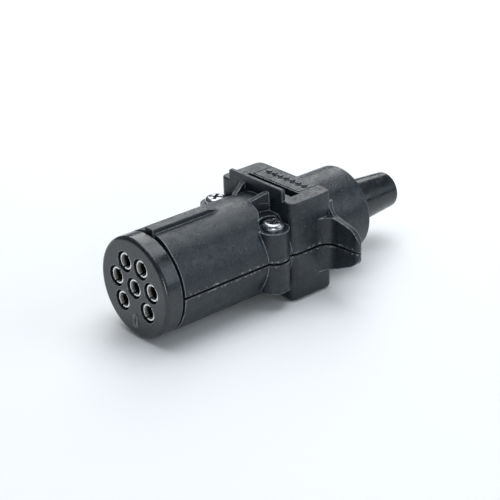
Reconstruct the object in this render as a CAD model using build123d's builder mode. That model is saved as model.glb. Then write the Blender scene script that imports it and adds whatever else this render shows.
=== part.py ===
from build123d import *
import os
from math import cos, radians, sin

# Seven-contact round trailer plug: a split plastic casing round a contact carrier.
# Frame: millimetres, X runs along the plug from the mating face to the cable, Z is up (latch side).
# Origin: centre of the mating face.

os.makedirs("parts", exist_ok=True)

# ---- barrel and nose ----
BARREL_R = 11.0
WALL = 1.8
BARREL_IN_R = BARREL_R - WALL
NOSE_LEN = 4.2
NOSE_EDGE_R = 0.9
NOSE_REAR_EDGE = 0.25
NOSE_GAP = 0.5
SHELL_X0 = NOSE_LEN + NOSE_GAP
FRONT_LIP = 2.2
FRONT_LIP_R = 8.5
CAVITY_X0 = SHELL_X0 + FRONT_LIP

# ---- square housing block behind the barrel ----
BLOCK_X0 = 33.3
BLOCK_X1 = 45.0
BLOCK_HALF_W = 11.5
BLOCK_TOP = 11.7
BLOCK_BOTTOM = -BARREL_R
BLOCK_FRONT_WALL = 2.0
BLOCK_REAR_WALL = 1.8
CHAMBER_HALF_W = 9.3
CHAMBER_TOP = 8.4
CHAMBER_BOTTOM = -9.0
CABLE_PASS_R = 7.0
PARTING_GAP = 0.4

# ---- contacts ----
CONTACT_PCD_R = 5.77
CONTACT_ANGLES = (63.0, 9.0, -45.0, -135.0, 171.0, 117.0)
PIN_R = 1.5
SLEEVE_R = 1.9
SLEEVE_SEAT_R = SLEEVE_R + 0.04
MOUTH_R = 2.3
MOUTH_DEPTH = 3.4
CONTACT_FRONT = 0.45
PIN_DEPTH = 9.0
CARRIER_END = 14.0
TERMINAL_R = 2.35
TERMINAL_END = 23.0
CENTRE_TERMINAL_END = 28.0
CLAMP_SCREW_INSET = 4.2

# ---- case screws and bosses ----
BOSS_X = 30.0
BOSS_Y = 9.2
BOSS_R = 3.45
BOSS_CORE_R = 3.5
SPOT_R = 2.95
BOSS_TOP = 6.9
BOSS_BOTTOM = -7.0
SCREW_R = 1.15
SCREW_FREE = 0.05
SCREW_HEAD_R = 2.4
SCREW_HEAD_H = 1.5
SCREW_TIP_Z = -5.6

# ---- hub and boot at the cable end ----
HUB_X0 = BLOCK_X1 + 0.15
HUB_X1 = 58.3
HUB_R = 9.8
HUB_BORE_R = 6.0
HUB_REAR_EDGE_R = 0.5
BOOT_END = 73.0
BOOT_BASE_R = 5.3
BOOT_TIP_R = 4.1
CABLE_R = 3.4

# ---- cord grip ----
GRIP_X0 = 37.8
GRIP_LEN = 4.0
GRIP_SCREW_Y = 6.1
GRIP_MID_X = GRIP_X0 + GRIP_LEN / 2
GRIP_CENTRES = ((GRIP_MID_X, GRIP_SCREW_Y), (GRIP_MID_X, -GRIP_SCREW_Y))


def polar(radius, angle):
    """Y and Z of a point at a radius and an angle measured from -Y towards +Z."""
    return -radius * cos(radians(angle)), radius * sin(radians(angle))


CONTACT_CENTRES = [polar(CONTACT_PCD_R, a) for a in CONTACT_ANGLES] + [(0.0, 0.0)]


# ==== contact carrier: nose ring, grooved neck and the body inside the barrel ====
NECK_R = 8.4
NECK_END = CAVITY_X0 + 0.1
CARRIER_R = BARREL_IN_R - 0.1
KEY_HALF_W = 1.0
KEY_TOP_Z = -8.5
KEY_BOTTOM_Z = -10.1
KEY_X0 = 8.5
KEY_LEN = 4.5
INDEX_Z = -7.35
INDEX_LEN = 2.9
INDEX_W = 1.35
INDEX_LINE = 0.32
INDEX_H = 0.22

with BuildPart() as contact_carrier:
    with BuildSketch(Plane.XY):
        Polygon(
            (0, 0),
            (0, BARREL_R),
            (NOSE_LEN, BARREL_R),
            (NOSE_LEN, NECK_R),
            (NECK_END, NECK_R),
            (NECK_END, CARRIER_R),
            (CARRIER_END, CARRIER_R),
            (CARRIER_END, 0),
            align=None,
        )
    revolve(axis=Axis.X)
    rims = contact_carrier.edges().filter_by(GeomType.CIRCLE).group_by(Axis.X)
    fillet(rims[0], NOSE_EDGE_R)
    ring_rear = contact_carrier.edges().filter_by(GeomType.CIRCLE).filter_by(
        lambda e: abs(e.center().X - NOSE_LEN) < 0.01 and e.radius > BARREL_R - 0.01
    )
    chamfer(ring_rear, NOSE_REAR_EDGE)
    with BuildSketch(Plane.XY.offset(KEY_BOTTOM_Z)):
        with Locations((KEY_X0 + KEY_LEN / 2, 0)):
            Rectangle(KEY_LEN, 2 * KEY_HALF_W)
    extrude(amount=KEY_TOP_Z - KEY_BOTTOM_Z)
    with BuildSketch(Plane.YZ):
        with Locations(*CONTACT_CENTRES):
            Circle(MOUTH_R)
    extrude(amount=MOUTH_DEPTH, mode=Mode.SUBTRACT)
    with BuildSketch(Plane.YZ.offset(MOUTH_DEPTH)):
        with Locations(*CONTACT_CENTRES):
            Circle(SLEEVE_SEAT_R)
    extrude(amount=CARRIER_END - MOUTH_DEPTH, mode=Mode.SUBTRACT)
    with BuildSketch(Plane.YZ):
        with Locations((0, INDEX_Z)):
            SlotOverall(INDEX_LEN, INDEX_W, rotation=90)
            SlotOverall(
                INDEX_LEN - 2 * INDEX_LINE, INDEX_W - 2 * INDEX_LINE, rotation=90, mode=Mode.SUBTRACT
            )
    extrude(amount=-INDEX_H)
contact_carrier.part.label = "contact_carrier"
export_step(contact_carrier.part, "parts/contact_carrier.step")


# ==== contacts: a split sleeve in front, a clamp terminal behind ====
SLIT_W = 0.45
SLIT_LEN = 6.5
WIRE_HOLE_R = 1.25
WIRE_HOLE_DEPTH = 6.5
TERMINAL_FLAT = 2.0
TERMINAL_FLAT_LEN = 3.4
WIRE_SCREW_R = 0.8
WIRE_SCREW_HOLE_R = 0.84
WIRE_SCREW_HEAD_R = 1.35
WIRE_SCREW_HEAD_H = 0.95
WIRE_SCREW_REACH = 0.4
WIRE_SCREW_SEAT = TERMINAL_FLAT + 0.03
WIRE_SCREW_SLOT_W = 0.45
WIRE_SCREW_SLOT_D = 0.5
SLEEVE_EDGE = 0.12


def terminal_end(number):
    """Rear end of a contact: the centre one is longer, so its screw can be reached."""
    return CENTRE_TERMINAL_END if number == len(CONTACT_CENTRES) else TERMINAL_END


def screw_plane(number):
    """Plane across a terminal's axis whose normal is the terminal screw's direction."""
    y, z = CONTACT_CENTRES[number - 1]
    x = terminal_end(number) - CLAMP_SCREW_INSET
    outward = (0, 0, 1) if (y, z) == (0.0, 0.0) else (0, y, z)
    return Plane(origin=(x, y, z), x_dir=(1, 0, 0), z_dir=outward)


for number, centre in enumerate(CONTACT_CENTRES, start=1):
    end = terminal_end(number)
    across = screw_plane(number)
    with BuildPart() as contact:
        with BuildSketch(Plane.YZ.offset(CONTACT_FRONT)):
            with Locations(centre):
                Circle(SLEEVE_R)
        extrude(amount=CARRIER_END - CONTACT_FRONT)
        chamfer(contact.edges().group_by(Axis.X)[0], SLEEVE_EDGE)
        with BuildSketch(Plane.YZ.offset(CARRIER_END)):
            with Locations(centre):
                Circle(TERMINAL_R)
        extrude(amount=end - CARRIER_END)
        with BuildSketch(Plane.YZ.offset(CONTACT_FRONT)):
            with Locations(centre):
                Circle(PIN_R)
        extrude(amount=PIN_DEPTH, mode=Mode.SUBTRACT)
        with BuildSketch(Plane.YZ.offset(CONTACT_FRONT)):
            with Locations(centre):
                Rectangle(2 * SLEEVE_R + 1, SLIT_W, rotation=-CONTACT_ANGLES[0])
        extrude(amount=SLIT_LEN, mode=Mode.SUBTRACT)
        with BuildSketch(Plane.YZ.offset(end)):
            with Locations(centre):
                Circle(WIRE_HOLE_R)
        extrude(amount=-WIRE_HOLE_DEPTH, mode=Mode.SUBTRACT)
        with BuildSketch(across.offset(TERMINAL_FLAT)):
            Rectangle(TERMINAL_FLAT_LEN, 2 * TERMINAL_R)
        extrude(amount=TERMINAL_R, mode=Mode.SUBTRACT)
        with BuildSketch(across):
            Circle(WIRE_SCREW_HOLE_R)
        extrude(amount=TERMINAL_R, mode=Mode.SUBTRACT)
    contact.part.label = f"contact_{number}"
    export_step(contact.part, f"parts/contact_{number}.step")

for number in range(1, len(CONTACT_CENTRES) + 1):
    across = screw_plane(number)
    with BuildPart() as terminal_screw:
        with BuildSketch(across.offset(WIRE_SCREW_REACH)):
            Circle(WIRE_SCREW_R)
        extrude(amount=WIRE_SCREW_SEAT - WIRE_SCREW_REACH)
        with BuildSketch(across.offset(WIRE_SCREW_SEAT)):
            Circle(WIRE_SCREW_HEAD_R)
        extrude(amount=WIRE_SCREW_HEAD_H)
        with BuildSketch(across.offset(WIRE_SCREW_SEAT + WIRE_SCREW_HEAD_H)):
            Rectangle(2 * WIRE_SCREW_HEAD_R, WIRE_SCREW_SLOT_W)
        extrude(amount=-WIRE_SCREW_SLOT_D, mode=Mode.SUBTRACT)
    terminal_screw.part.label = f"terminal_screw_{number}"
    export_step(terminal_screw.part, f"parts/terminal_screw_{number}.step")


# ==== finger wing on the -Y side: a dished ear in front of a thin plate at the block's rear ====
WING_TIP_Y = -20.3
WING_ROOT_X = 40.5
WING_ROOT_Y = -BLOCK_HALF_W + 0.6
WING_HALF_H = 6.2
WEB_X0 = 44.1
WEB_TOP = 9.4
WEB_END_Y = -13.8

with BuildPart() as wing:
    with BuildSketch(Plane.XY.offset(-WING_HALF_H)):
        with BuildLine():
            dish = Spline(
                (WING_ROOT_X, -BLOCK_HALF_W),
                (42.6, -12.2),
                (43.5, -13.8),
                tangents=((1, -0.12), (0.1, -1)),
            )
            face_line = Line(dish @ 1, (44.1, -19.0))
            tip = ThreePointArc(face_line @ 1, (44.35, -19.9), (44.8, WING_TIP_Y))
            heel = ThreePointArc(tip @ 1, (45.15, WING_TIP_Y + 0.2), (45.3, WING_TIP_Y + 0.7))
            Polyline(
                heel @ 1,
                (BLOCK_X1, -15.5),
                (BLOCK_X1, WING_ROOT_Y),
                (WING_ROOT_X, WING_ROOT_Y),
                dish @ 0,
            )
        make_face()
    extrude(amount=2 * WING_HALF_H)
    with BuildSketch(Plane.YZ.offset(BLOCK_X0)):
        with BuildLine():
            upper = Spline(
                (-13.0, WING_HALF_H),
                (-16.1, 5.45),
                (-18.6, 4.4),
                (-19.8, 3.0),
                (WING_TIP_Y, 0),
                tangents=((-1, -0.15), (0, -1)),
            )
            lower = Spline(
                (-13.0, -WING_HALF_H + 0.3),
                (-16.1, -4.7),
                (-18.6, -3.5),
                (-19.8, -2.4),
                (WING_TIP_Y, 0),
                tangents=((-1, 0.25), (0, 1)),
            )
            Polyline(
                upper @ 0,
                (WING_ROOT_Y, WING_HALF_H),
                (WING_ROOT_Y, -WING_HALF_H),
                (-BLOCK_HALF_W - 0.3, -WING_HALF_H),
                lower @ 0,
            )
        make_face()
    extrude(amount=BLOCK_X1, mode=Mode.INTERSECT)
    with BuildSketch(Plane.YZ.offset(WEB_X0)):
        with BuildLine():
            web = ThreePointArc((-BLOCK_HALF_W, WEB_TOP), (-12.1, 7.0), (WEB_END_Y, 5.9))
            Polyline(web @ 1, (WING_ROOT_Y, 5.0), (WING_ROOT_Y, WEB_TOP), web @ 0)
        make_face()
    extrude(amount=BLOCK_X1 - WEB_X0)

# ==== boss cores: inner walls of the screw pillars and pocket pads, inside the barrel's round ====
POCKET_FLOOR = 8.4
PAD_X0 = 28.5
PAD_Y0 = 2.4
PAD_BOTTOM = 6.9

with BuildPart() as boss_cores:
    with BuildSketch(Plane.XY.offset(BOSS_BOTTOM)):
        with Locations((BOSS_X, BOSS_Y), (BOSS_X, -BOSS_Y)):
            Circle(BOSS_CORE_R)
    extrude(amount=2 * BARREL_R)
    with BuildSketch(Plane.XY.offset(PAD_BOTTOM)):
        with Locations(((PAD_X0 + BLOCK_X0) / 2, 0)):
            Rectangle(BLOCK_X0 - PAD_X0, 2 * BOSS_Y)
            Rectangle(BLOCK_X0 - PAD_X0, 2 * PAD_Y0, mode=Mode.SUBTRACT)
    extrude(amount=BARREL_R)
    with BuildSketch(Plane.YZ.offset(SHELL_X0)):
        Circle(BARREL_R)
    extrude(amount=BLOCK_X1 - SHELL_X0, mode=Mode.INTERSECT)

# ==== gusset on the +Y side: a splayed fin between the barrel's top and the latch flange ====
FLANGE_T = 0.95
FLANGE_HALF_W = 8.5
FLANGE_TOP = 14.1
FLANGE_CORNER_R = 0.5
FLANGE_EDGE_R = 0.2
GUSSET_X0 = 29.4
GUSSET_FOOT_Y0 = 1.8
GUSSET_FOOT_Y1 = 3.0
GUSSET_HEAD_Y0 = 3.5
GUSSET_HEAD_Y1 = 4.6
GUSSET_TOP = 12.5
GUSSET_BASE_Z = 9.5
GUSSET_NOSE_Z = 11.05

with BuildPart() as gusset:
    with BuildSketch(Plane.XY.offset(GUSSET_BASE_Z)):
        Polygon(
            (GUSSET_X0, GUSSET_FOOT_Y0),
            (BLOCK_X0 + FLANGE_T / 2, GUSSET_HEAD_Y0),
            (BLOCK_X0 + FLANGE_T / 2, GUSSET_HEAD_Y1),
            (GUSSET_X0, GUSSET_FOOT_Y1),
            align=None,
        )
    extrude(amount=FLANGE_TOP - GUSSET_BASE_Z)
    with BuildSketch(Plane.XZ):
        Polygon(
            (GUSSET_X0, GUSSET_BASE_Z),
            (BLOCK_X0 + FLANGE_T, GUSSET_BASE_Z),
            (BLOCK_X0 + FLANGE_T, GUSSET_TOP),
            (BLOCK_X0 - 0.4, GUSSET_TOP),
            (GUSSET_X0, GUSSET_NOSE_Z),
            align=None,
        )
    extrude(amount=BARREL_R, both=True, mode=Mode.INTERSECT)

# ==== screw pocket on the +Y side: a shallow cut in the barrel between the gusset and the screw ====
POCKET_FRONT_X = BOSS_X - SPOT_R

with BuildPart() as screw_pocket:
    with BuildSketch(Plane.XY.offset(POCKET_FLOOR)):
        with BuildLine():
            pocket_front = Spline(
                (GUSSET_X0 + 0.1, GUSSET_FOOT_Y1),
                (29.3, 5.4),
                (POCKET_FRONT_X, BOSS_Y),
                tangents=((0.1, 1), (0, 1)),
            )
            Polyline(
                pocket_front @ 1,
                (BLOCK_X0, BOSS_Y),
                (BLOCK_X0, GUSSET_HEAD_Y1 - 0.1),
                pocket_front @ 0,
            )
        make_face()
    extrude(amount=BARREL_R - POCKET_FLOOR)

# ==== casing: the outer form and cavity that both shells share ====
BLOCK_TOP_EDGE_R = 0.4
BLOCK_BOTTOM_EDGE_R = 0.9
BLOCK_CORNER_R = 1.6

with BuildPart() as casing:
    with BuildSketch(Plane.XY.offset(BLOCK_BOTTOM)):
        with Locations(((BLOCK_X0 + BLOCK_X1) / 2, 0)):
            Rectangle(BLOCK_X1 - BLOCK_X0, 2 * BLOCK_HALF_W)
    extrude(amount=BLOCK_TOP - BLOCK_BOTTOM)
    fillet(casing.edges().filter_by(Axis.Z), BLOCK_CORNER_R)
    fillet(casing.faces().sort_by(Axis.Z)[-1].edges(), BLOCK_TOP_EDGE_R)
    fillet(casing.faces().sort_by(Axis.Z)[0].edges(), BLOCK_BOTTOM_EDGE_R - 0.1)
    with BuildSketch(Plane.YZ.offset(SHELL_X0)):
        Circle(BARREL_R)
    extrude(amount=BLOCK_X0 + BLOCK_FRONT_WALL - SHELL_X0)
    with BuildSketch(Plane.YZ.offset(SHELL_X0)):
        Circle(FRONT_LIP_R)
    extrude(amount=FRONT_LIP, mode=Mode.SUBTRACT)
    with BuildSketch(Plane.YZ.offset(CAVITY_X0)):
        Circle(BARREL_IN_R)
    extrude(amount=BLOCK_X0 + BLOCK_FRONT_WALL - CAVITY_X0, mode=Mode.SUBTRACT)
    with BuildSketch(Plane.XY.offset(CHAMBER_BOTTOM)):
        with Locations(((BLOCK_X0 + BLOCK_FRONT_WALL + BLOCK_X1 - BLOCK_REAR_WALL) / 2, 0)):
            Rectangle(
                BLOCK_X1 - BLOCK_REAR_WALL - BLOCK_X0 - BLOCK_FRONT_WALL, 2 * CHAMBER_HALF_W
            )
    extrude(amount=CHAMBER_TOP - CHAMBER_BOTTOM, mode=Mode.SUBTRACT)
    with BuildSketch(Plane.YZ.offset(BLOCK_X1 - BLOCK_REAR_WALL)):
        Circle(CABLE_PASS_R)
    extrude(amount=BLOCK_REAR_WALL, mode=Mode.SUBTRACT)
    with BuildSketch(Plane.XY.offset(BOSS_BOTTOM)):
        with Locations((BOSS_X, BOSS_Y), (BOSS_X, -BOSS_Y)):
            Circle(BOSS_R)
    extrude(amount=BOSS_TOP - BOSS_BOTTOM)
    add(boss_cores.part)
    with BuildSketch(Plane.XY.offset(BOSS_TOP)):
        with Locations((BOSS_X, BOSS_Y), (BOSS_X, -BOSS_Y)):
            Circle(SPOT_R)
    extrude(amount=BARREL_R, mode=Mode.SUBTRACT)
    add(screw_pocket.part, mode=Mode.SUBTRACT)
    add(mirror(screw_pocket.part, about=Plane.XZ), mode=Mode.SUBTRACT)
    add(wing.part)
    add(mirror(wing.part, about=Plane.XZ))

# ==== upper shell: the cover, with key rib, latch flange, slot and marking panel ====
RIB_HALF_W = 1.3
RIB_TOP = 12.0
RIB_FOOT = 9.6
RIB_X1 = 19.5
RIB_RAMP_X1 = 22.8
RIB_EDGE_R = 0.2
RELIEF_Z = 8.6
RELIEF_DEPTH = 0.5
SLOT_X0 = 36.3
SLOT_W = 2.5
SLOT_HALF_LEN = 8.0
SLOT_DEPTH = 2.2
PANEL_X0 = 39.5
PANEL_HALF_W = 7.4
PANEL_LINE_W = 0.4
PANEL_LINE_D = 0.45
STUD_X = 42.4
STUD_R = 0.7
STUD_H = 0.4
STUD_PITCH = 1.85
STUD_COUNT = 7
PEG_X = 36.6
PEG_Y = 10.3
PEG_R = 0.45
PEG_FREE = 0.06
PEG_H = 1.6

with BuildPart() as upper_shell:
    add(casing.part)
    split(bisect_by=Plane.XY.offset(PARTING_GAP / 2), keep=Keep.TOP)
    with BuildSketch(Plane.XZ):
        Polygon(
            (SHELL_X0 - 1, RELIEF_Z),
            (SHELL_X0, RELIEF_Z),
            (SHELL_X0 + RELIEF_DEPTH, BARREL_R),
            (SHELL_X0 + RELIEF_DEPTH, BARREL_R + 1),
            (SHELL_X0 - 1, BARREL_R + 1),
            align=None,
        )
    extrude(amount=BARREL_R, both=True, mode=Mode.SUBTRACT)
    with BuildSketch(Plane.XZ):
        Polygon(
            (SHELL_X0, RIB_FOOT),
            (SHELL_X0, RIB_TOP),
            (RIB_X1, RIB_TOP),
            (RIB_RAMP_X1, BARREL_R - 0.2),
            (RIB_RAMP_X1, RIB_FOOT),
            align=None,
        )
    extrude(amount=RIB_HALF_W, both=True)
    rib_edges = upper_shell.edges().filter_by(Axis.X).filter_by(
        lambda e: e.center().Z > RIB_TOP - 0.01
    )
    fillet(rib_edges, RIB_EDGE_R)
    with BuildSketch(Plane.YZ.offset(BLOCK_X0)):
        with Locations((0, (BLOCK_TOP - 1 + FLANGE_TOP) / 2)):
            Rectangle(2 * FLANGE_HALF_W, FLANGE_TOP - BLOCK_TOP + 1)
    extrude(amount=FLANGE_T)
    flange_corners = upper_shell.edges().filter_by(Axis.X).filter_by(
        lambda e: e.center().Z > FLANGE_TOP - 0.01
    )
    fillet(flange_corners, FLANGE_CORNER_R)
    flange_edges = upper_shell.edges().filter_by(Axis.Y).filter_by(
        lambda e: e.center().Z > FLANGE_TOP - 0.01
    )
    fillet(flange_edges, FLANGE_EDGE_R)
    add(gusset.part)
    add(mirror(gusset.part, about=Plane.XZ))
    with BuildSketch(Plane.XY.offset(BLOCK_TOP)):
        with Locations((SLOT_X0 + SLOT_W / 2, 0)):
            Rectangle(SLOT_W, 2 * SLOT_HALF_LEN)
    extrude(amount=-SLOT_DEPTH, mode=Mode.SUBTRACT)
    with BuildSketch(Plane.XY.offset(BLOCK_TOP)):
        with Locations(((PANEL_X0 + BLOCK_X1) / 2, 0)):
            Rectangle(BLOCK_X1 - PANEL_X0 + 1, 2 * PANEL_HALF_W)
        with Locations(((PANEL_X0 + BLOCK_X1) / 2, 0)):
            Rectangle(
                BLOCK_X1 - PANEL_X0 + 1 - 2 * PANEL_LINE_W,
                2 * (PANEL_HALF_W - PANEL_LINE_W),
                mode=Mode.SUBTRACT,
            )
    extrude(amount=-PANEL_LINE_D, mode=Mode.SUBTRACT)
    with BuildSketch(Plane.XY.offset(BLOCK_TOP)):
        with Locations((STUD_X, 0)):
            with GridLocations(1, STUD_PITCH, 1, STUD_COUNT):
                Circle(STUD_R)
    extrude(amount=STUD_H)
    with BuildSketch(Plane.XY):
        with Locations((BOSS_X, BOSS_Y), (BOSS_X, -BOSS_Y)):
            Circle(SCREW_R + SCREW_FREE)
    extrude(amount=BOSS_TOP, mode=Mode.SUBTRACT)
    with BuildSketch(Plane.XY):
        with Locations((PEG_X, PEG_Y), (PEG_X, -PEG_Y)):
            Circle(PEG_R + PEG_FREE)
    extrude(amount=PEG_H + 0.3, mode=Mode.SUBTRACT)
upper_shell.part.label = "upper_shell"
export_step(upper_shell.part, "parts/upper_shell.step")

# ==== lower shell: the other half of the casing, with the cord grip's cradle ====
LIP_T = 0.9
GRIP_CRADLE_R = CABLE_R + 0.1
GRIP_POST_TOP = 0.8
GRIP_POST_HALF_W = 8.5
GRIP_PILOT_DEPTH = 6.0
GRIP_SCREW_R = 0.95

with BuildPart() as lower_shell:
    add(casing.part)
    split(bisect_by=Plane.XY.offset(-PARTING_GAP / 2), keep=Keep.BOTTOM)
    # closing lip inside the parting gap, which carries the upper shell
    with BuildSketch(Plane.XY.offset(-PARTING_GAP / 2)):
        with Locations(((CAVITY_X0 + BLOCK_X0) / 2, 0)):
            Rectangle(BLOCK_X0 - CAVITY_X0, 2 * (BARREL_IN_R + LIP_T))
            Rectangle(BLOCK_X0 - CAVITY_X0, 2 * BARREL_IN_R, mode=Mode.SUBTRACT)
        with Locations(((BLOCK_X0 + BLOCK_X1) / 2, 0)):
            Rectangle(BLOCK_X1 - BLOCK_X0 - LIP_T, 2 * (CHAMBER_HALF_W + LIP_T))
        with Locations(((BLOCK_X0 + BLOCK_FRONT_WALL + BLOCK_X1 - BLOCK_REAR_WALL) / 2, 0)):
            Rectangle(
                BLOCK_X1 - BLOCK_REAR_WALL - BLOCK_X0 - BLOCK_FRONT_WALL,
                2 * CHAMBER_HALF_W,
                mode=Mode.SUBTRACT,
            )
        with Locations((BLOCK_X0, 0)):
            Rectangle(2 * BLOCK_FRONT_WALL, 2 * BARREL_IN_R, mode=Mode.SUBTRACT)
        with Locations((BLOCK_X1, 0)):
            Rectangle(2 * BLOCK_REAR_WALL, 2 * CABLE_PASS_R, mode=Mode.SUBTRACT)
        with Locations((BOSS_X, BOSS_Y), (BOSS_X, -BOSS_Y)):
            Circle(BOSS_R - LIP_T)
    extrude(amount=PARTING_GAP)
    # cradle and posts of the cord grip
    with BuildSketch(Plane.XY.offset(CHAMBER_BOTTOM - 0.5)):
        with Locations((GRIP_MID_X, 0)):
            Rectangle(GRIP_LEN, 2 * GRIP_POST_HALF_W)
    extrude(amount=GRIP_POST_TOP - CHAMBER_BOTTOM + 0.5)
    with BuildSketch(Plane.YZ.offset(GRIP_X0)):
        Circle(GRIP_CRADLE_R)
    extrude(amount=GRIP_LEN, mode=Mode.SUBTRACT)
    with BuildSketch(Plane.XY.offset(GRIP_POST_TOP)):
        with Locations(*GRIP_CENTRES):
            Circle(GRIP_SCREW_R + SCREW_FREE)
    extrude(amount=-GRIP_PILOT_DEPTH, mode=Mode.SUBTRACT)
    with BuildSketch(Plane.XY.offset(SCREW_TIP_Z - 0.6)):
        with Locations((BOSS_X, BOSS_Y), (BOSS_X, -BOSS_Y)):
            Circle(SCREW_R + SCREW_FREE)
    extrude(amount=2 * BARREL_R, mode=Mode.SUBTRACT)
    with BuildSketch(Plane.XY.offset(KEY_BOTTOM_Z - 0.1)):
        with Locations((KEY_X0 + KEY_LEN / 2, 0)):
            Rectangle(KEY_LEN + 0.3, 2 * KEY_HALF_W + 0.2)
    extrude(amount=2, mode=Mode.SUBTRACT)
    with BuildSketch(Plane.XY.offset(-1)):
        with Locations((PEG_X, PEG_Y), (PEG_X, -PEG_Y)):
            Circle(PEG_R)
    extrude(amount=1 + PEG_H)
lower_shell.part.label = "lower_shell"
export_step(lower_shell.part, "parts/lower_shell.step")

# ==== cable hub: a collar whose neck and inner flange the two shells clamp ====
HUB_NECK_R = CABLE_PASS_R - 0.05
HUB_FLANGE_R = 8.0
HUB_FLANGE_X0 = 42.1
HUB_FLANGE_X1 = BLOCK_X1 - BLOCK_REAR_WALL - 0.1
REAR_HOLE_R = BOOT_BASE_R + 0.04
BOOT_FLANGE_R = 6.9
BOOT_FLANGE_X0 = 53.4
BOOT_FLANGE_X1 = 55.6

with BuildPart() as cable_hub:
    with BuildSketch(Plane.XY):
        Polygon(
            (HUB_FLANGE_X0, HUB_BORE_R),
            (HUB_FLANGE_X0, HUB_FLANGE_R),
            (HUB_FLANGE_X1, HUB_FLANGE_R),
            (HUB_FLANGE_X1, HUB_NECK_R),
            (HUB_X0, HUB_NECK_R),
            (HUB_X0, HUB_R),
            (HUB_X1, HUB_R),
            (HUB_X1, REAR_HOLE_R),
            (BOOT_FLANGE_X1, REAR_HOLE_R),
            (BOOT_FLANGE_X1, BOOT_FLANGE_R),
            (BOOT_FLANGE_X0, BOOT_FLANGE_R),
            (BOOT_FLANGE_X0, HUB_BORE_R),
            align=None,
        )
    revolve(axis=Axis.X)
    hub_rim = cable_hub.edges().filter_by(GeomType.CIRCLE).filter_by(
        lambda e: e.center().X > HUB_X1 - 0.01 and e.radius > HUB_R - 0.01
    )
    fillet(hub_rim, HUB_REAR_EDGE_R)
cable_hub.part.label = "cable_hub"
export_step(cable_hub.part, "parts/cable_hub.step")

# ==== case screws: pan heads with a cross recess, one each side ====
RECESS_W = 0.75
RECESS_LEN = 3.0
RECESS_DEPTH = 1.0
HEAD_EDGE_R = 0.95
TIP_LEN = 1.4

for side, y in (("right", -BOSS_Y), ("left", BOSS_Y)):
    with BuildPart() as case_screw:
        with BuildSketch(Plane.XY.offset(SCREW_TIP_Z + TIP_LEN)):
            with Locations((BOSS_X, y)):
                Circle(SCREW_R)
        extrude(amount=BOSS_TOP - SCREW_TIP_Z - TIP_LEN)
        with BuildSketch(Plane.XY.offset(SCREW_TIP_Z + TIP_LEN)):
            with Locations((BOSS_X, y)):
                Circle(SCREW_R)
        extrude(amount=-TIP_LEN, taper=30)
        with BuildSketch(Plane.XY.offset(BOSS_TOP)):
            with Locations((BOSS_X, y)):
                Circle(SCREW_HEAD_R)
        extrude(amount=SCREW_HEAD_H)
        fillet(case_screw.edges().sort_by(Axis.Z)[-1], HEAD_EDGE_R)
        with BuildSketch(Plane.XY.offset(BOSS_TOP + SCREW_HEAD_H)):
            with Locations((BOSS_X, y)):
                Rectangle(RECESS_LEN, RECESS_W, rotation=35)
                Rectangle(RECESS_W, RECESS_LEN, rotation=35)
        extrude(amount=-RECESS_DEPTH, taper=8, mode=Mode.SUBTRACT)
    case_screw.part.label = f"case_screw_{side}"
    export_step(case_screw.part, f"parts/case_screw_{side}.step")

# ==== cord grip: a saddle over the cable and its two screws ====
SADDLE_BOTTOM = 0.85
SADDLE_TOP = 4.6
SADDLE_HALF_W = 8.2
GRIP_HEAD_R = 1.7
GRIP_HEAD_H = 1.1
GRIP_SCREW_TIP = -4.2
GRIP_SLOT_W = 0.6

with BuildPart() as cord_grip:
    with BuildSketch(Plane.XY.offset(SADDLE_BOTTOM)):
        with Locations((GRIP_MID_X, 0)):
            RectangleRounded(GRIP_LEN, 2 * SADDLE_HALF_W, 0.8)
    extrude(amount=SADDLE_TOP - SADDLE_BOTTOM)
    with BuildSketch(Plane.YZ.offset(GRIP_X0)):
        Circle(GRIP_CRADLE_R)
    extrude(amount=GRIP_LEN, mode=Mode.SUBTRACT)
    with BuildSketch(Plane.XY.offset(SADDLE_BOTTOM)):
        with Locations(*GRIP_CENTRES):
            Circle(GRIP_SCREW_R + SCREW_FREE)
    extrude(amount=SADDLE_TOP, mode=Mode.SUBTRACT)
cord_grip.part.label = "cord_grip"
export_step(cord_grip.part, "parts/cord_grip.step")

for side, y in (("right", -GRIP_SCREW_Y), ("left", GRIP_SCREW_Y)):
    with BuildPart() as grip_screw:
        with BuildSketch(Plane.XY.offset(GRIP_SCREW_TIP)):
            with Locations((GRIP_MID_X, y)):
                Circle(GRIP_SCREW_R)
        extrude(amount=SADDLE_TOP - GRIP_SCREW_TIP)
        with BuildSketch(Plane.XY.offset(SADDLE_TOP)):
            with Locations((GRIP_MID_X, y)):
                Circle(GRIP_HEAD_R)
        extrude(amount=GRIP_HEAD_H)
        with BuildSketch(Plane.XY.offset(SADDLE_TOP + GRIP_HEAD_H)):
            with Locations((GRIP_MID_X, y)):
                Rectangle(2 * GRIP_HEAD_R, GRIP_SLOT_W)
        extrude(amount=-GRIP_SLOT_W, mode=Mode.SUBTRACT)
    grip_screw.part.label = f"grip_screw_{side}"
    export_step(grip_screw.part, f"parts/grip_screw_{side}.step")

# ==== cable boot: a tapered rubber sleeve held by its flange in the hub ====
BOOT_FRONT = 51.5
BOOT_TIP_EDGE_R = 0.5
BOOT_FREE = 0.04

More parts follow.
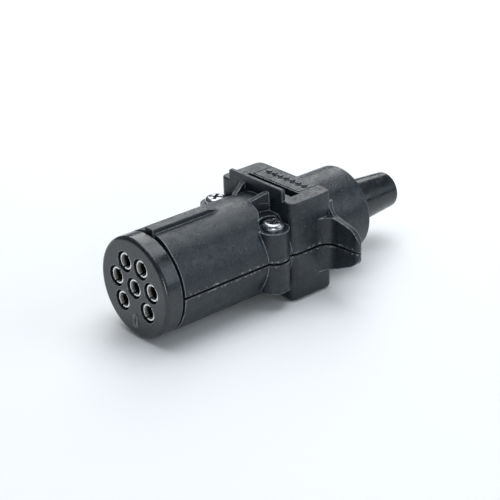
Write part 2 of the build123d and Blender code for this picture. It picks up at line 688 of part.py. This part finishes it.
with BuildPart() as cable_boot:
    with BuildSketch(Plane.XY):
        Polygon(
            (BOOT_FRONT, CABLE_R),
            (BOOT_FRONT, HUB_BORE_R - BOOT_FREE),
            (BOOT_FLANGE_X0 + BOOT_FREE, HUB_BORE_R - BOOT_FREE),
            (BOOT_FLANGE_X0 + BOOT_FREE, BOOT_FLANGE_R - BOOT_FREE),
            (BOOT_FLANGE_X1 - BOOT_FREE, BOOT_FLANGE_R - BOOT_FREE),
            (BOOT_FLANGE_X1 - BOOT_FREE, BOOT_BASE_R),
            (HUB_X1, BOOT_BASE_R),
            (BOOT_END, BOOT_TIP_R),
            (BOOT_END, CABLE_R),
            align=None,
        )
    revolve(axis=Axis.X)
    boot_rim = cable_boot.edges().filter_by(GeomType.CIRCLE).filter_by(
        lambda e: e.center().X > BOOT_END - 0.01 and e.radius > BOOT_TIP_R - 0.01
    )
    fillet(boot_rim, BOOT_TIP_EDGE_R)
cable_boot.part.label = "cable_boot"
export_step(cable_boot.part, "parts/cable_boot.step")
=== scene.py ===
import bpy
import math
from mathutils import Matrix, Vector


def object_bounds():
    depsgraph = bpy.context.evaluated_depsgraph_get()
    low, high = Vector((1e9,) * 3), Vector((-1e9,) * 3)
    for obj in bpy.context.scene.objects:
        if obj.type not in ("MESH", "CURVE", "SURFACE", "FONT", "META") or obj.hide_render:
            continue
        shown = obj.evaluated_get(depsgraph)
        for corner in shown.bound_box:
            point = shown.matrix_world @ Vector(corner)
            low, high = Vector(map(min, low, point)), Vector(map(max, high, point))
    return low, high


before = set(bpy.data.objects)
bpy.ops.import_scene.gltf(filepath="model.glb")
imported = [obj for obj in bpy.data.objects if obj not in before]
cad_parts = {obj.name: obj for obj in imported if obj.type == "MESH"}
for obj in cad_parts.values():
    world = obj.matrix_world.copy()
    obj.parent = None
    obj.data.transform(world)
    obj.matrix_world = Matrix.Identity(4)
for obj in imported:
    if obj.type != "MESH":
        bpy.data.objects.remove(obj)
CAD_LOW, CAD_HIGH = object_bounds()
MM = 0.001

# ---------------------------------------------------------------- materials
PIT_COLOUR = (0.003, 0.004, 0.006)
# Pale edge colour: partly rubbed wear, partly a painted highlight along every edge.
RUB_AND_HIGHLIGHT_COLOUR = (0.42, 0.44, 0.47)
DUST_COLOUR = (0.13, 0.14, 0.155)
SCUFF_COLOUR = (0.12, 0.128, 0.14)
# Near-black painted shade for the faces inside the parting gap.
SEAM_SHADE_COLOUR = (0.0015, 0.002, 0.0025)
CRUMB_COLOUR = (0.30, 0.315, 0.335)
# Dark painted shade for the inside of the contact tubes.
TUBE_SHADE_COLOUR = (0.018, 0.017, 0.016)

PLASTIC_IOR = 1.5
PLASTIC_EDGE_MM = 0.2
RUB_AND_HIGHLIGHT_EDGE_MM = 0.34
METAL_EDGE_MM = 0.06
EDGE_SAMPLES = 6
TUBE_SHADE_FADE_MM = 1.0

# Cosine between the softened and the true normal, on an edge and on open surface.
EDGE_COSINE = 0.90
OPEN_COSINE = 0.995

# The Mix node's colour sockets share their names with its number sockets.
MIX_FIRST_COLOUR = 6
MIX_SECOND_COLOUR = 7
MIX_COLOUR_RESULT = 2

class Nodes:
    """Short helpers for building one material's node tree."""

    def __init__(self, name):
        self.material = bpy.data.materials.new(name)
        self.material.use_nodes = True
        self.tree = self.material.node_tree
        self.tree.nodes.clear()
        self.out = self.add("ShaderNodeOutputMaterial")
        self.bsdf = self.add("ShaderNodeBsdfPrincipled")
        self.link(self.bsdf.outputs["BSDF"], self.out.inputs["Surface"])
        coords = self.add("ShaderNodeTexCoord")
        self.coords = coords.outputs["Object"]

    def add(self, kind, **settings):
        node = self.tree.nodes.new(kind)
        for key, value in settings.items():
            setattr(node, key, value)
        return node

    def link(self, source, target):
        self.tree.links.new(source, target)

    def noise(self, size_mm, detail, rough, stretch=None):
        """Noise whose features are about size_mm wide."""
        node = self.add("ShaderNodeTexNoise")
        node.inputs["Scale"].default_value = 1.0 / (size_mm * MM)
        node.inputs["Detail"].default_value = detail
        node.inputs["Roughness"].default_value = rough
        source = self.coords
        if stretch:
            mapping = self.add("ShaderNodeMapping")
            mapping.inputs["Scale"].default_value = stretch
            self.link(source, mapping.inputs["Vector"])
            source = mapping.outputs["Vector"]
        self.link(source, node.inputs["Vector"])
        return node.outputs["Fac"]

    def coordinate(self, axis):
        """One model coordinate, in metres: X runs along the plug and Z is up."""
        split = self.add("ShaderNodeSeparateXYZ")
        self.link(self.coords, split.inputs["Vector"])
        return split.outputs[axis]

    def span(self, value, low, high, out_low, out_high):
        """Map low..high to out_low..out_high, clamped."""
        node = self.add("ShaderNodeMapRange", clamp=True)
        node.inputs["From Min"].default_value = low
        node.inputs["From Max"].default_value = high
        node.inputs["To Min"].default_value = out_low
        node.inputs["To Max"].default_value = out_high
        self.link(value, node.inputs["Value"])
        return node.outputs["Result"]

    def math(self, operation, *values):
        """A math node on numbers or sockets."""
        node = self.add("ShaderNodeMath", operation=operation)
        for socket, value in zip(node.inputs, values):
            if isinstance(value, (int, float)):
                socket.default_value = value
            else:
                self.link(value, socket)
        return node.outputs[0]

    def blend(self, factor, first, second):
        """Mix two colours, each a tuple or a socket."""
        node = self.add("ShaderNodeMix", data_type="RGBA")
        self.link(factor, node.inputs["Factor"])
        for index, value in ((MIX_FIRST_COLOUR, first), (MIX_SECOND_COLOUR, second)):
            if isinstance(value, tuple):
                node.inputs[index].default_value = (*value, 1.0)
            else:
                self.link(value, node.inputs[index])
        return node.outputs[MIX_COLOUR_RESULT]

    def round_edges(self, radius_mm):
        """Shading normal that softens every edge within the radius."""
        bevel = self.add("ShaderNodeBevel", samples=EDGE_SAMPLES)
        bevel.inputs["Radius"].default_value = radius_mm * MM
        return bevel.outputs["Normal"]

    def edges(self, radius_mm):
        """1 on edges within the radius, 0 on open surface."""
        geometry = self.add("ShaderNodeNewGeometry")
        dot = self.add("ShaderNodeVectorMath", operation="DOT_PRODUCT")
        self.link(self.round_edges(radius_mm), dot.inputs[0])
        self.link(geometry.outputs["Normal"], dot.inputs[1])
        return self.span(dot.outputs["Value"], EDGE_COSINE, OPEN_COSINE, 1.0, 0.0)

    def bump(self, height, strength, distance_mm, below):
        """Raise a height map on top of the normal below it."""
        node = self.add("ShaderNodeBump")
        node.inputs["Strength"].default_value = strength
        node.inputs["Distance"].default_value = distance_mm * MM
        self.link(height, node.inputs["Height"])
        self.link(below, node.inputs["Normal"])
        return node.outputs["Normal"]

def plastic_colour(n, dark, light, rub_and_highlight_strength, specks, pitting):
    """Mottled black with pits, pale dust and scuffs along the plug, and pale edges that are partly rubbed
    wear and partly painted highlight.
    """
    cloud = n.noise(size_mm=2.6, detail=4.0, rough=0.6)
    speck = n.noise(size_mm=0.45, detail=3.0, rough=0.65)
    tone = n.math("ADD", n.math("MULTIPLY", cloud, 0.5), n.math("MULTIPLY", speck, 0.5))
    colour = n.blend(n.span(tone, 0.38, 0.62, 0.0, 1.0), dark, light)
    patches = n.span(n.noise(size_mm=1.1, detail=4.0, rough=0.65), 0.38, 0.60, 0.4 * rub_and_highlight_strength, rub_and_highlight_strength)
    # Every edge gets pale colour, partly rubbed wear and partly painted highlight standing in for light
    # caught on rounded edges.
    rub_and_highlight_mask = n.math("MULTIPLY", n.edges(RUB_AND_HIGHLIGHT_EDGE_MM), patches)
    colour = n.blend(rub_and_highlight_mask, colour, RUB_AND_HIGHLIGHT_COLOUR)
    colour = n.blend(n.span(pitting, 0.34, 0.42, 0.8, 0.0), colour, PIT_COLOUR)
    dust = n.span(n.noise(size_mm=0.42, detail=3.0, rough=0.7), 0.655, 0.71, 0.0, specks)
    colour = n.blend(dust, colour, DUST_COLOUR)
    scuffs = n.noise(size_mm=0.5, detail=3.0, rough=0.6, stretch=(0.12, 1.0, 1.0))
    scuff_zone = n.span(n.noise(size_mm=5.0, detail=2.0, rough=0.5), 0.52, 0.62, 0.0, 1.0)
    scuff = n.math("MULTIPLY", n.span(scuffs, 0.62, 0.68, 0.0, 0.45 * specks), scuff_zone)
    return n.blend(scuff, colour, SCUFF_COLOUR)

def seam_colour(n, colour):
    """Painted shade in the parting gap at mid-height, with pale crumbs of flash beside it."""
    height = n.math("ABSOLUTE", n.coordinate("Z"))
    wander = n.span(n.noise(size_mm=0.5, detail=2.0, rough=0.5), 0.35, 0.65, -0.06 * MM, 0.06 * MM)
    ragged = n.math("ADD", height, wander)
    # Painted shade: faces within the parting gap are darkened to near-black.
    painted_seam_shade = n.span(ragged, 0.27 * MM, 0.40 * MM, 0.96, 0.0)
    colour = n.blend(painted_seam_shade, colour, SEAM_SHADE_COLOUR)
    past_seam_shade = n.span(height, 0.34 * MM, 0.42 * MM, 0.0, 1.0)
    near_seam = n.span(height, 0.55 * MM, 0.85 * MM, 1.0, 0.0)
    beside = n.math("MULTIPLY", past_seam_shade, near_seam)
    flecks = n.span(n.noise(size_mm=0.7, detail=3.0, rough=0.7), 0.53, 0.60, 0.0, 0.8)
    return n.blend(n.math("MULTIPLY", beside, flecks), colour, CRUMB_COLOUR)

def moulded_plastic(name, dark, light, rough, grain_mm, grain_depth, rub_and_highlight_strength, specks, gloss=0.5, seam=False):
    """Black moulded plastic, with painted shade along the seam where two shells meet at mid-height."""
    n = Nodes(name)
    pitting = n.noise(size_mm=0.6, detail=2.0, rough=0.6)
    colour = plastic_colour(n, dark, light, rub_and_highlight_strength, specks, pitting)
    if seam:
        colour = seam_colour(n, colour)
    n.link(colour, n.bsdf.inputs["Base Color"])
    blotches = n.noise(size_mm=1.8, detail=4.0, rough=0.6)
    n.link(n.span(blotches, 0.32, 0.68, rough - 0.11, rough + 0.09), n.bsdf.inputs["Roughness"])
    n.bsdf.inputs["IOR"].default_value = PLASTIC_IOR
    n.bsdf.inputs["Specular IOR Level"].default_value = gloss
    waves = n.noise(size_mm=3.2, detail=3.0, rough=0.55)
    dents = n.span(pitting, 0.33, 0.43, 0.0, 1.0)
    dent_depth = min(1.0, 0.55 * grain_depth)
    grain = n.noise(size_mm=grain_mm, detail=2.5, rough=0.6)
    normal = n.round_edges(PLASTIC_EDGE_MM)
    normal = n.bump(waves, strength=0.35, distance_mm=0.10, below=normal)
    normal = n.bump(dents, strength=dent_depth, distance_mm=0.05, below=normal)
    normal = n.bump(grain, strength=grain_depth, distance_mm=0.035, below=normal)
    n.link(normal, n.bsdf.inputs["Normal"])
    return n.material

def metal(name, bright, dull, rough, scratch_mm, metallic=1.0, tube=None):
    """Plated metal: fine turning lines, smudges of dulled plating, and painted shade inside the tube."""
    n = Nodes(name)
    smudge = n.noise(size_mm=0.9, detail=4.0, rough=0.6)
    colour = n.blend(n.span(smudge, 0.4, 0.66, 0.0, 1.0), bright, dull)
    if tube:
        # Painted shade: the tube's inner wall darkens from the mouth inward and fades out past its end.
        mouth_mm, dark_mm, end_mm = tube
        along = n.coordinate("X")
        inward = n.span(along, mouth_mm * MM, dark_mm * MM, 0.0, 1.0)
        before_end = n.span(along, end_mm * MM, (end_mm + TUBE_SHADE_FADE_MM) * MM, 1.0, 0.0)
        colour = n.blend(n.math("MULTIPLY", inward, before_end), colour, TUBE_SHADE_COLOUR)
    n.link(colour, n.bsdf.inputs["Base Color"])
    n.bsdf.inputs["Metallic"].default_value = metallic
    n.link(n.span(smudge, 0.3, 0.7, rough - 0.06, rough + 0.1), n.bsdf.inputs["Roughness"])
    lines = n.noise(size_mm=scratch_mm, detail=2.0, rough=0.6, stretch=(1.0, 0.15, 1.0))
    normal = n.bump(lines, strength=0.2, distance_mm=0.006, below=n.round_edges(METAL_EDGE_MM))
    n.link(normal, n.bsdf.inputs["Normal"])
    return n.material

SHELL_DARK = (0.004, 0.007, 0.010)
SHELL_LIGHT = (0.018, 0.026, 0.034)

SHELL = moulded_plastic(
    "shell_plastic", SHELL_DARK, SHELL_LIGHT,
    rough=0.38, grain_mm=0.3, grain_depth=1.1, rub_and_highlight_strength=0.9, specks=0.7, seam=True,
)
HUB = moulded_plastic(
    "hub_plastic", SHELL_DARK, SHELL_LIGHT,
    rough=0.33, grain_mm=0.3, grain_depth=0.9, rub_and_highlight_strength=0.9, specks=0.5,
)
CARRIER = moulded_plastic(
    "carrier_plastic", (0.010, 0.013, 0.016), (0.018, 0.022, 0.026),
    rough=0.23, grain_mm=0.2, grain_depth=0.25, rub_and_highlight_strength=0.7, specks=0.35, gloss=0.6,
)
BOOT = moulded_plastic(
    "boot_rubber", (0.005, 0.007, 0.009), (0.009, 0.012, 0.016),
    rough=0.27, grain_mm=0.35, grain_depth=0.2, rub_and_highlight_strength=0.4, specks=0.15,
)
GRIP = moulded_plastic(
    "grip_plastic", (0.014, 0.016, 0.019), (0.022, 0.025, 0.029),
    rough=0.45, grain_mm=0.2, grain_depth=0.4, rub_and_highlight_strength=0.4, specks=0.3,
)
CONTACT = metal(
    "contact_plating", (0.95, 0.95, 0.94), (0.80, 0.79, 0.78),
    rough=0.26, scratch_mm=0.3, metallic=0.6, tube=(0.7, 1.35, 11.0),
)
STEEL = metal(
    "screw_plating", (0.50, 0.51, 0.53), (0.26, 0.27, 0.29),
    rough=0.24, scratch_mm=0.2,
)

LOOKS = {
    "upper_shell": SHELL,
    "lower_shell": SHELL,
    "cable_hub": HUB,
    "contact_carrier": CARRIER,
    "cable_boot": BOOT,
    "cord_grip": GRIP,
}
for node_name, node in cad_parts.items():
    look = LOOKS.get(node_name)
    if look is None:
        look = CONTACT if node_name.startswith("contact_") else STEEL
    node.data.materials.clear()
    node.data.materials.append(look)

# ---------------------------------------------------------------- camera
# The aim is a point on the plug's axis, moved across and up in the picture. Lengths are in mm.
AZIMUTH = math.radians(48.88)
ELEVATION = math.radians(26.02)
ROLL = math.radians(-1.36)
DISTANCE = 334.44
AIM_ALONG = 30.0
AIM_SIDE = 3.43
AIM_UP = -4.71
SENSOR_WIDTH = 36.0
LENS = 112.35888
SHIFT_X = -0.0227
SHIFT_Y = 0.03224

# In metres, from closer than any view needs to past the floor's far corners.
CLIP_NEAR = 0.01
CLIP_FAR = 20.0

away = Vector((
    -math.cos(ELEVATION) * math.cos(AZIMUTH),
    -math.cos(ELEVATION) * math.sin(AZIMUTH),
    math.sin(ELEVATION),
))
forward = -away
side = forward.cross(Vector((0, 0, 1))).normalized()
lift = side.cross(forward)
right = side * math.cos(ROLL) + lift * math.sin(ROLL)
top = lift * math.cos(ROLL) - side * math.sin(ROLL)
aim = Vector((AIM_ALONG, 0.0, 0.0)) + side * AIM_SIDE + lift * AIM_UP
place = (aim + away * DISTANCE) * MM

camera_data = bpy.data.cameras.new("camera")
camera = bpy.data.objects.new("camera", camera_data)
bpy.context.scene.collection.objects.link(camera)
camera.matrix_world = Matrix((
    (right.x, top.x, away.x, place.x),
    (right.y, top.y, away.y, place.y),
    (right.z, top.z, away.z, place.z),
    (0.0, 0.0, 0.0, 1.0),
))
camera_data.sensor_width = SENSOR_WIDTH
camera_data.lens = LENS
camera_data.shift_x = SHIFT_X
camera_data.shift_y = SHIFT_Y
camera_data.clip_start = CLIP_NEAR
camera_data.clip_end = CLIP_FAR
bpy.context.scene.camera = camera

# ---------------------------------------------------------------- floor and light
FLOOR_HALF = 3.0
FLOOR_GAP = 0.0002
FLOOR_COLOUR = (0.93, 0.93, 0.93, 1.0)
FLOOR_ROUGHNESS = 0.9
SURROUND_COLOUR = (0.80, 0.90, 1.0, 1.0)
SURROUND_STRENGTH = 0.17

centre = (CAD_LOW + CAD_HIGH) / 2
floor_z = CAD_LOW.z - FLOOR_GAP
floor_mesh = bpy.data.meshes.new("floor")
floor_mesh.from_pydata(
    [
        (centre.x - FLOOR_HALF, centre.y - FLOOR_HALF, floor_z),
        (centre.x + FLOOR_HALF, centre.y - FLOOR_HALF, floor_z),
        (centre.x + FLOOR_HALF, centre.y + FLOOR_HALF, floor_z),
        (centre.x - FLOOR_HALF, centre.y + FLOOR_HALF, floor_z),
    ],
    [],
    [(0, 1, 2, 3)],
)
floor = bpy.data.objects.new("floor", floor_mesh)
bpy.context.scene.collection.objects.link(floor)
paper = Nodes("studio_floor")
paper.bsdf.inputs["Base Color"].default_value = FLOOR_COLOUR
paper.bsdf.inputs["Roughness"].default_value = FLOOR_ROUGHNESS
floor_mesh.materials.append(paper.material)

world = bpy.data.worlds.new("studio")
world.use_nodes = True
surround = world.node_tree.nodes["Background"]
surround.inputs["Color"].default_value = SURROUND_COLOUR
surround.inputs["Strength"].default_value = SURROUND_STRENGTH
bpy.context.scene.world = world

def softbox(name, direction, distance, size, power, tint=(1.0, 1.0, 1.0)):
    """Square area light that faces the object from a direction."""
    data = bpy.data.lights.new(name, "AREA")
    data.shape = "SQUARE"
    data.size = size
    data.energy = power
    data.color = tint
    lamp = bpy.data.objects.new(name, data)
    bpy.context.scene.collection.objects.link(lamp)
    toward = Vector(direction).normalized()
    lamp.location = centre + toward * distance
    lamp.rotation_euler = toward.to_track_quat("Z", "Y").to_euler()

softbox("sky", (0.15, 0.1, 1.0), distance=0.9, size=0.9, power=7.8, tint=(0.92, 0.965, 1.0))
softbox("rim", (0.59, 0.68, 0.62), distance=0.6, size=0.36, power=1.1)
softbox("fill", (0.6, -0.75, 0.5), distance=0.7, size=0.45, power=1.1, tint=(0.82, 0.92, 1.0))
softbox("front", (-0.9, -1.1, 0.2), distance=0.6, size=0.22, power=0.8)

bpy.context.scene.view_settings.view_transform = "Standard"
